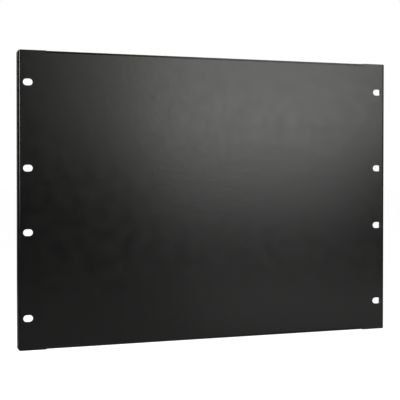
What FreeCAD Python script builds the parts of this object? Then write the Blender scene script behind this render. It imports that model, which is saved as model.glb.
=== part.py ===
import FreeCAD, Part
import os

# Rack blanking panel, eight units high, folded from one sheet of steel.
# Sizes are in millimetres. X runs along the panel, Z is up, and Y points into the
# rack. The origin is the middle of the panel, in the plane where the backs of the
# ears meet the rack's rails.

os.makedirs("parts", exist_ok=True)

# Sheet
SHEET = 1.5                   # thickness of the steel with its powder coat
BEND_INSIDE = 2.0             # inside radius of every bend
FOLD_DEPTH = 12.0             # front face to the free edges of all four folds

# Rack that it covers
RACK_UNIT = 44.45             # height of one rack unit
UNITS_HIGH = 8                # rack units that the panel covers
STACK_PLAY = 0.4              # total clearance to the panels above and below
RAIL_WIDTH = 482.6            # over the rack's two front rails
RAIL_PLAY = 1.5               # each end fold clears the side of its rail by this

# Folds along the top and the bottom
FLANGE_INSET = 30.3           # rail's outer side to the flange's end, clear of the rail
FLANGE_CORNER = 3.0           # free corners of these flanges
RELIEF_WIDTH = 0.25           # slit that frees each flange end from its ear
RELIEF_OVERRUN = 0.3          # slit length past the start of the bend

# Folds at the two ends
EAR_CORNER = 3.0              # outer corners of the ears, seen from the front
END_FOLD_CORNER = 2.0         # free corners of the end folds

# Rack slots
SLOT_INSET = 8.75             # rail's outer side to the middle of its slot column
SLOT_LENGTH = 11.5            # end to end, along the panel
SLOT_HEIGHT = 8.0
SLOT_EDGE_BREAK = 0.35        # bevel on the slots' front rims
OUTER_ROW_INSET = 38.1        # outer slot rows, from the edge of the outer rack units
ROW_STEP = 101.6              # outer slot row to the next row

# Sizes that follow from those above
PANEL_WIDTH = RAIL_WIDTH + 2 * (RAIL_PLAY + SHEET)
PANEL_HEIGHT = UNITS_HIGH * RACK_UNIT - STACK_PLAY
HALF_WIDTH = PANEL_WIDTH / 2
HALF_HEIGHT = PANEL_HEIGHT / 2
FLANGE_LENGTH = RAIL_WIDTH - 2 * FLANGE_INSET
HALF_FLANGE = FLANGE_LENGTH / 2
BEND_OUTSIDE = BEND_INSIDE + SHEET
SLOT_SPACING = RAIL_WIDTH - 2 * SLOT_INSET
OUTER_ROW = UNITS_HIGH * RACK_UNIT / 2 - OUTER_ROW_INSET
SLOT_ROWS = (OUTER_ROW, OUTER_ROW - ROW_STEP, ROW_STEP - OUTER_ROW, -OUTER_ROW)
PAST = 1.0                    # how far a cutter runs past the metal

# The shapes below are drawn with the front face at Y = 0 and moved forward at the end.


def point(x, y, z):
    return FreeCAD.Vector(x, y, z)


def line(start, end):
    return Part.LineSegment(start, end).toShape()


def arc(centre, start, end):
    """The short arc from start to end round centre."""
    radius = (start - centre).Length
    middle = (start - centre) + (end - centre)
    middle = middle.normalize() * radius
    return Part.Arc(start, centre + middle, end).toShape()


def half_circle(start, far, end):
    return Part.Arc(start, far, end).toShape()


def prism(edges, direction):
    """A closed profile pushed along a direction."""
    face = Part.Face(Part.Wire(edges))
    return face.extrude(direction)


def flanged_middle():
    """The panel between the ears: front sheet, two bends and two flanges."""
    x = -HALF_FLANGE
    outer = HALF_HEIGHT
    inner = HALF_HEIGHT - SHEET
    bend = HALF_HEIGHT - BEND_OUTSIDE
    top = point(x, BEND_OUTSIDE, bend)
    low = point(x, BEND_OUTSIDE, -bend)
    section = [
        line(point(x, 0, -bend), point(x, 0, bend)),
        arc(top, point(x, 0, bend), point(x, BEND_OUTSIDE, outer)),
        line(point(x, BEND_OUTSIDE, outer), point(x, FOLD_DEPTH, outer)),
        line(point(x, FOLD_DEPTH, outer), point(x, FOLD_DEPTH, inner)),
        line(point(x, FOLD_DEPTH, inner), point(x, BEND_OUTSIDE, inner)),
        arc(top, point(x, BEND_OUTSIDE, inner), point(x, SHEET, bend)),
        line(point(x, SHEET, bend), point(x, SHEET, -bend)),
        arc(low, point(x, SHEET, -bend), point(x, BEND_OUTSIDE, -inner)),
        line(point(x, BEND_OUTSIDE, -inner), point(x, FOLD_DEPTH, -inner)),
        line(point(x, FOLD_DEPTH, -inner), point(x, FOLD_DEPTH, -outer)),
        line(point(x, FOLD_DEPTH, -outer), point(x, BEND_OUTSIDE, -outer)),
        arc(low, point(x, BEND_OUTSIDE, -outer), point(x, 0, -bend)),
    ]
    channel = prism(section, point(FLANGE_LENGTH, 0, 0))
    return channel.common(flange_plan())


def flange_plan():
    """The flanges seen from above, with their free corners rounded."""
    x = HALF_FLANGE
    y = FOLD_DEPTH
    z = -HALF_HEIGHT - PAST
    r = FLANGE_CORNER
    plan = [
        line(point(-x, -PAST, z), point(x, -PAST, z)),
        line(point(x, -PAST, z), point(x, y - r, z)),
        arc(point(x - r, y - r, z), point(x, y - r, z), point(x - r, y, z)),
        line(point(x - r, y, z), point(r - x, y, z)),
        arc(point(r - x, y - r, z), point(r - x, y, z), point(-x, y - r, z)),
        line(point(-x, y - r, z), point(-x, -PAST, z)),
    ]
    return prism(plan, point(0, 0, PANEL_HEIGHT + 2 * PAST))


def folded_ear(side):
    """The right (side 1) or left (side -1) ear with its end folded back."""
    z = -HALF_HEIGHT
    joint = side * HALF_FLANGE
    outer = side * HALF_WIDTH
    inner = side * (HALF_WIDTH - SHEET)
    bend = side * (HALF_WIDTH - BEND_OUTSIDE)
    centre = point(bend, BEND_OUTSIDE, z)
    section = [
        line(point(joint, 0, z), point(bend, 0, z)),
        arc(centre, point(bend, 0, z), point(outer, BEND_OUTSIDE, z)),
        line(point(outer, BEND_OUTSIDE, z), point(outer, FOLD_DEPTH, z)),
        line(point(outer, FOLD_DEPTH, z), point(inner, FOLD_DEPTH, z)),
        line(point(inner, FOLD_DEPTH, z), point(inner, BEND_OUTSIDE, z)),
        arc(centre, point(inner, BEND_OUTSIDE, z), point(bend, SHEET, z)),
        line(point(bend, SHEET, z), point(joint, SHEET, z)),
        line(point(joint, SHEET, z), point(joint, 0, z)),
    ]
    ear = prism(section, point(0, 0, PANEL_HEIGHT))
    return ear.common(end_fold_side()).common(front_outline())


def end_fold_side():
    """The end folds seen from the side, with their free corners rounded."""
    x = -HALF_WIDTH - PAST
    y = FOLD_DEPTH
    z = HALF_HEIGHT
    r = END_FOLD_CORNER
    side = [
        line(point(x, -PAST, -z), point(x, y - r, -z)),
        arc(point(x, y - r, r - z), point(x, y - r, -z), point(x, y, r - z)),
        line(point(x, y, r - z), point(x, y, z - r)),
        arc(point(x, y - r, z - r), point(x, y, z - r), point(x, y - r, z)),
        line(point(x, y - r, z), point(x, -PAST, z)),
        line(point(x, -PAST, z), point(x, -PAST, -z)),
    ]
    return prism(side, point(PANEL_WIDTH + 2 * PAST, 0, 0))


def front_outline():
    """The panel seen from the front, with the outer corners of its ears rounded."""
    x = HALF_WIDTH
    y = -PAST
    z = HALF_HEIGHT
    r = EAR_CORNER
    outline = [
        line(point(r - x, y, -z), point(x - r, y, -z)),
        arc(point(x - r, y, r - z), point(x - r, y, -z), point(x, y, r - z)),
        line(point(x, y, r - z), point(x, y, z - r)),
        arc(point(x - r, y, z - r), point(x, y, z - r), point(x - r, y, z)),
        line(point(x - r, y, z), point(r - x, y, z)),
        arc(point(r - x, y, z - r), point(r - x, y, z), point(-x, y, z - r)),
        line(point(-x, y, z - r), point(-x, y, r - z)),
        arc(point(r - x, y, r - z), point(-x, y, r - z), point(r - x, y, -z)),
    ]
    return prism(outline, point(0, FOLD_DEPTH + 2 * PAST, 0))


def relief_slit(side, end):
    """The slit between a flange's end and its ear, round at its foot."""
    near = side * HALF_FLANGE
    far = side * (HALF_FLANGE + RELIEF_WIDTH)
    middle = side * (HALF_FLANGE + RELIEF_WIDTH / 2)
    y = -PAST
    mouth = end * (HALF_HEIGHT + PAST)
    foot = end * (HALF_HEIGHT - BEND_OUTSIDE - RELIEF_OVERRUN)
    low = foot - end * RELIEF_WIDTH / 2
    slit = [
        line(point(near, y, mouth), point(near, y, foot)),
        half_circle(point(near, y, foot), point(middle, y, low), point(far, y, foot)),
        line(point(far, y, foot), point(far, y, mouth)),
        line(point(far, y, mouth), point(near, y, mouth)),
    ]
    return prism(slit, point(0, SHEET + 2 * PAST, 0))


def slot_wire(x, y, z, grow):
    """The outline of a rack slot at depth y, larger all round by grow."""
    r = SLOT_HEIGHT / 2 + grow
    half = (SLOT_LENGTH - SLOT_HEIGHT) / 2
    edges = [
        line(point(x - half, y, z + r), point(x + half, y, z + r)),
        half_circle(point(x + half, y, z + r), point(x + half + r, y, z), point(x + half, y, z - r)),
        line(point(x + half, y, z - r), point(x - half, y, z - r)),
        half_circle(point(x - half, y, z - r), point(x - half - r, y, z), point(x - half, y, z + r)),
    ]
    return Part.Wire(edges)


def rack_slot(x, z):
    """A slot through an ear, with its front rim bevelled."""
    hole = Part.Face(slot_wire(x, -PAST, z, 0)).extrude(point(0, SHEET + 2 * PAST, 0))
    wide = slot_wire(x, 0, z, SLOT_EDGE_BREAK)
    narrow = slot_wire(x, SLOT_EDGE_BREAK, z, 0)
    bevel = Part.makeLoft([wide, narrow], True, True)
    return hole.fuse(bevel)


def cutters():
    tools = []
    for side in (-1, 1):
        for end in (-1, 1):
            tools.append(relief_slit(side, end))
        for row in SLOT_ROWS:
            tools.append(rack_slot(side * SLOT_SPACING / 2, row))
    return tools


def blanking_panel():
    sheet = flanged_middle().fuse([folded_ear(-1), folded_ear(1)])
    sheet = sheet.removeSplitter()
    sheet = sheet.cut(cutters())
    return sheet.removeSplitter().Solids[0]


panel = blanking_panel()
panel.translate(point(0, -SHEET, 0))
panel.exportStep("parts/blanking_panel.step")
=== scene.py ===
import math
import bpy
from mathutils import Euler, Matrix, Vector


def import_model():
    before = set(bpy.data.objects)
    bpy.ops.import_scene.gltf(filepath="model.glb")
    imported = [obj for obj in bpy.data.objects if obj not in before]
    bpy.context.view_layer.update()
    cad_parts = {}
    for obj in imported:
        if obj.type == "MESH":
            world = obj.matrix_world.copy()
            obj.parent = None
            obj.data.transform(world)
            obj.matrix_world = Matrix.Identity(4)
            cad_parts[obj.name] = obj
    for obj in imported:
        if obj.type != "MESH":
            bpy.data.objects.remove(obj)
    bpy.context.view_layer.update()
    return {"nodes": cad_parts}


# Camera: metres, degrees, and millimetres of film
CAMERA_PLACE = (-0.3884, -1.0868, 0.0382)
CAMERA_TURN_RIGHT = 18.83
CAMERA_TURN_DOWN = 0.75
CAMERA_ROLL = -0.03
CAMERA_NEAREST = 0.01
FILM_WIDTH = 36.0
LENS = 82.25
SHIFT_UP = -0.0497

# Powder coat
COAT_DARK = (0.0026, 0.0026, 0.0024, 1.0)
COAT_LIGHT = (0.0036, 0.0036, 0.0034, 1.0)
COAT_IOR = 1.5
COAT_SPECULAR = 0.5
COAT_SMOOTHEST = 0.20
COAT_ROUGHEST = 0.24
CLOUD_CELLS = 60.0
CLOUD_DETAIL = 3.0
CLOUD_LOW = 0.3
CLOUD_HIGH = 0.7
# The broad mottle, the orange peel and the grain:
# cells per metre, detail, roughness of the noise, height in metres, strength
COAT_BUMPS = (
    (110.0, 4.0, 0.6, 0.00005, 1.0),
    (420.0, 2.0, 0.5, 0.00004, 0.6),
    (2600.0, 2.0, 0.5, 0.00001, 0.35),
)

# Floor: metres, and its glow near the panel and far from it
FLOOR_HEIGHT = -0.45
FLOOR_SIDE = 40.0
FLOOR_GREY = (0.46, 0.46, 0.46, 1.0)
FLOOR_ROUGHNESS = 0.9
FLOOR_SPECULAR = 0.1
FLOOR_NEAR = 0.5
FLOOR_FAR = 3.5
FLOOR_GLOW_NEAR = 0.87
FLOOR_GLOW_FAR = 0.97

# Room, and the part of it that mirrored rays see as the white backdrop. The two
# levels are cosines of the angle from its middle, where it fades in and is full.
ROOM_LIGHT = 0.03
BACKDROP_LIGHT = 1.0
BACKDROP_COLOR = (1.0, 1.0, 1.0, 1.0)
BACKDROP_DIRECTION = (0.42, 0.91, 0.0)
BACKDROP_EDGE = 0.82
BACKDROP_CORE = 0.96

# Soft boxes
WARM_WHITE = (0.995, 1.000, 0.955)
WHITE = (1.0, 1.0, 1.0)
# name, turn right and rise in degrees, distance, width and height in metres, glow, colour
SOFT_BOXES = (
    ("key_box", 24.5, 17.5, 3.00, 1.17, 1.61, 2.66, WARM_WHITE),
    ("key_spill", 24.3, 17.5, 3.00, 2.07, 1.61, 0.90, WARM_WHITE),
    ("low_box", 23.5, 1.5, 3.00, 0.85, 0.50, 1.86, WHITE),
    ("low_card", 31.0, -13.0, 1.67, 0.80, 0.13, 0.50, WHITE),
    ("left_window", -47.0, 13.0, 1.50, 0.40, 0.70, 9.50, WHITE),
    ("top_box", 56.0, 60.0, 1.50, 0.60, 0.80, 3.00, WHITE),
    ("right_back_box", 150.0, 30.0, 1.50, 1.20, 0.90, 2.00, WHITE),
    ("left_back_box", -140.0, 30.0, 2.20, 1.80, 1.30, 4.00, WHITE),
)


def new_material(name):
    """A node material with only its output and a Principled shader."""
    material = bpy.data.materials.new(name)
    material.use_nodes = True
    tree = material.node_tree
    tree.nodes.clear()
    output = tree.nodes.new("ShaderNodeOutputMaterial")
    shader = tree.nodes.new("ShaderNodeBsdfPrincipled")
    tree.links.new(shader.outputs["BSDF"], output.inputs["Surface"])
    return material, tree, shader, output


def noise(tree, cells, detail, roughness=0.5):
    """Noise that sits still on the object, with so many cells per metre."""
    place = tree.nodes.new("ShaderNodeTexCoord")
    texture = tree.nodes.new("ShaderNodeTexNoise")
    texture.inputs["Scale"].default_value = cells
    texture.inputs["Detail"].default_value = detail
    texture.inputs["Roughness"].default_value = roughness
    tree.links.new(place.outputs["Object"], texture.inputs["Vector"])
    return texture.outputs["Fac"]


def remap(tree, value, low, high, new_low, new_high):
    """A value moved from one range into another."""
    node = tree.nodes.new("ShaderNodeMapRange")
    node.inputs["From Min"].default_value = low
    node.inputs["From Max"].default_value = high
    node.inputs["To Min"].default_value = new_low
    node.inputs["To Max"].default_value = new_high
    tree.links.new(value, node.inputs["Value"])
    return node.outputs["Result"]


def calculate(tree, operation, first, second):
    """Two values joined by one operation."""
    node = tree.nodes.new("ShaderNodeMath")
    node.operation = operation
    tree.links.new(first, node.inputs[0])
    tree.links.new(second, node.inputs[1])
    return node.outputs["Value"]


def bump(tree, value, height, strength, normal):
    """A normal that follows a value, laid over another normal where there is one."""
    node = tree.nodes.new("ShaderNodeBump")
    node.inputs["Distance"].default_value = height
    node.inputs["Strength"].default_value = strength
    tree.links.new(value, node.inputs["Height"])
    if normal is not None:
        tree.links.new(normal, node.inputs["Normal"])
    return node.outputs["Normal"]


def powder_coat():
    """Satin black powder coat: a faint mottle, soft orange peel and a very fine grain."""
    material, tree, shader, _ = new_material("powder_coat")
    shader.inputs["IOR"].default_value = COAT_IOR
    shader.inputs["Specular IOR Level"].default_value = COAT_SPECULAR
    cloud = noise(tree, CLOUD_CELLS, CLOUD_DETAIL)
    tint = tree.nodes.new("ShaderNodeValToRGB")
    dark, light = tint.color_ramp.elements
    dark.position = CLOUD_LOW
    dark.color = COAT_DARK
    light.position = CLOUD_HIGH
    light.color = COAT_LIGHT
    tree.links.new(cloud, tint.inputs["Fac"])
    tree.links.new(tint.outputs["Color"], shader.inputs["Base Color"])
    rough = remap(tree, cloud, CLOUD_LOW, CLOUD_HIGH, COAT_SMOOTHEST, COAT_ROUGHEST)
    tree.links.new(rough, shader.inputs["Roughness"])
    normal = None
    for cells, detail, roughness, height, strength in COAT_BUMPS:
        relief = noise(tree, cells, detail, roughness)
        normal = bump(tree, relief, height, strength, normal)
    tree.links.new(normal, shader.inputs["Normal"])
    return material


def background_rays(tree, direction):
    """1 for what the camera sees, and for mirrored or see-through rays to the backdrop."""
    facing = tree.nodes.new("ShaderNodeVectorMath")
    facing.operation = "DOT_PRODUCT"
    facing.inputs[1].default_value = BACKDROP_DIRECTION
    tree.links.new(direction, facing.inputs[0])
    backdrop = remap(tree, facing.outputs["Value"], BACKDROP_EDGE, BACKDROP_CORE, 0.0, 1.0)
    path = tree.nodes.new("ShaderNodeLightPath")
    mirrored = calculate(
        tree, "MAXIMUM", path.outputs["Is Glossy Ray"], path.outputs["Is Transmission Ray"])
    limited = calculate(tree, "MULTIPLY", mirrored, backdrop)
    return calculate(tree, "MAXIMUM", path.outputs["Is Camera Ray"], limited)


def floor_paint():
    """Pale paint that reads as white to the camera and keeps soft shadows."""
    material, tree, shader, output = new_material("floor_paint")
    shader.inputs["Base Color"].default_value = FLOOR_GREY
    shader.inputs["Roughness"].default_value = FLOOR_ROUGHNESS
    shader.inputs["Specular IOR Level"].default_value = FLOOR_SPECULAR
    place = tree.nodes.new("ShaderNodeTexCoord")
    direction = tree.nodes.new("ShaderNodeVectorMath")
    direction.operation = "NORMALIZE"
    tree.links.new(place.outputs["Object"], direction.inputs[0])
    distance = tree.nodes.new("ShaderNodeVectorMath")
    distance.operation = "LENGTH"
    tree.links.new(place.outputs["Object"], distance.inputs[0])
    level = remap(
        tree, distance.outputs["Value"], FLOOR_NEAR, FLOOR_FAR, FLOOR_GLOW_NEAR, FLOOR_GLOW_FAR)
    seen = background_rays(tree, direction.outputs["Vector"])
    glow = tree.nodes.new("ShaderNodeEmission")
    tree.links.new(calculate(tree, "MULTIPLY", seen, level), glow.inputs["Strength"])
    both = tree.nodes.new("ShaderNodeAddShader")
    tree.links.new(shader.outputs["BSDF"], both.inputs[0])
    tree.links.new(glow.outputs["Emission"], both.inputs[1])
    tree.links.new(both.outputs["Shader"], output.inputs["Surface"])
    return material


def floor():
    """A plain floor below the panel, which belongs to the studio."""
    bpy.ops.mesh.primitive_plane_add(size=FLOOR_SIDE, location=(0, 0, FLOOR_HEIGHT))
    plane = bpy.context.object
    plane.name = "studio_floor"
    plane.data.materials.append(floor_paint())


def even_light(tree, strength):
    """The same light from every direction."""
    light = tree.nodes.new("ShaderNodeBackground")
    light.inputs["Color"].default_value = BACKDROP_COLOR
    light.inputs["Strength"].default_value = strength
    return light.outputs["Background"]


def world():
    """Dim even room light, with a white backdrop behind the panel."""
    room = bpy.data.worlds.new("room")
    room.use_nodes = True
    tree = room.node_tree
    tree.nodes.clear()
    output = tree.nodes.new("ShaderNodeOutputWorld")
    direction = tree.nodes.new("ShaderNodeTexCoord")
    seen = background_rays(tree, direction.outputs["Generated"])
    mix = tree.nodes.new("ShaderNodeMixShader")
    tree.links.new(seen, mix.inputs["Fac"])
    tree.links.new(even_light(tree, ROOM_LIGHT), mix.inputs[1])
    tree.links.new(even_light(tree, BACKDROP_LIGHT), mix.inputs[2])
    tree.links.new(mix.outputs["Shader"], output.inputs["Surface"])
    bpy.context.scene.world = room


def soft_box(name, turn, rise, distance, width, height, glow, color):
    """A soft box aimed at the panel, turned right of its front and raised, in degrees."""
    turn = math.radians(turn)
    rise = math.radians(rise)
    place = distance * Vector((
        math.sin(turn) * math.cos(rise),
        -math.cos(turn) * math.cos(rise),
        math.sin(rise),
    ))
    data = bpy.data.lights.new(name, "AREA")
    data.shape = "RECTANGLE"
    data.size = width
    data.size_y = height
    data.energy = math.pi * width * height * glow
    data.color = color
    lamp = bpy.data.objects.new(name, data)
    lamp.location = place
    lamp.rotation_euler = (-place).to_track_quat("-Z", "Y").to_euler()
    bpy.context.collection.objects.link(lamp)


def camera():
    """The camera, a little left of the panel's middle and turned right towards it."""
    data = bpy.data.cameras.new("camera")
    data.sensor_width = FILM_WIDTH
    data.lens = LENS
    data.shift_y = SHIFT_UP
    data.clip_start = CAMERA_NEAREST
    seen = bpy.data.objects.new("camera", data)
    seen.location = CAMERA_PLACE
    seen.rotation_euler = Euler((
        math.radians(90.0 - CAMERA_TURN_DOWN),
        math.radians(CAMERA_ROLL),
        math.radians(-CAMERA_TURN_RIGHT),
    ))
    bpy.context.collection.objects.link(seen)
    bpy.context.scene.camera = seen


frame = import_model()
panel = frame["nodes"]["blanking_panel"]
coat = powder_coat()
for slot in panel.material_slots:
    slot.material = coat
floor()
world()
for box in SOFT_BOXES:
    soft_box(*box)
camera()
bpy.context.scene.view_settings.view_transform = "Standard"
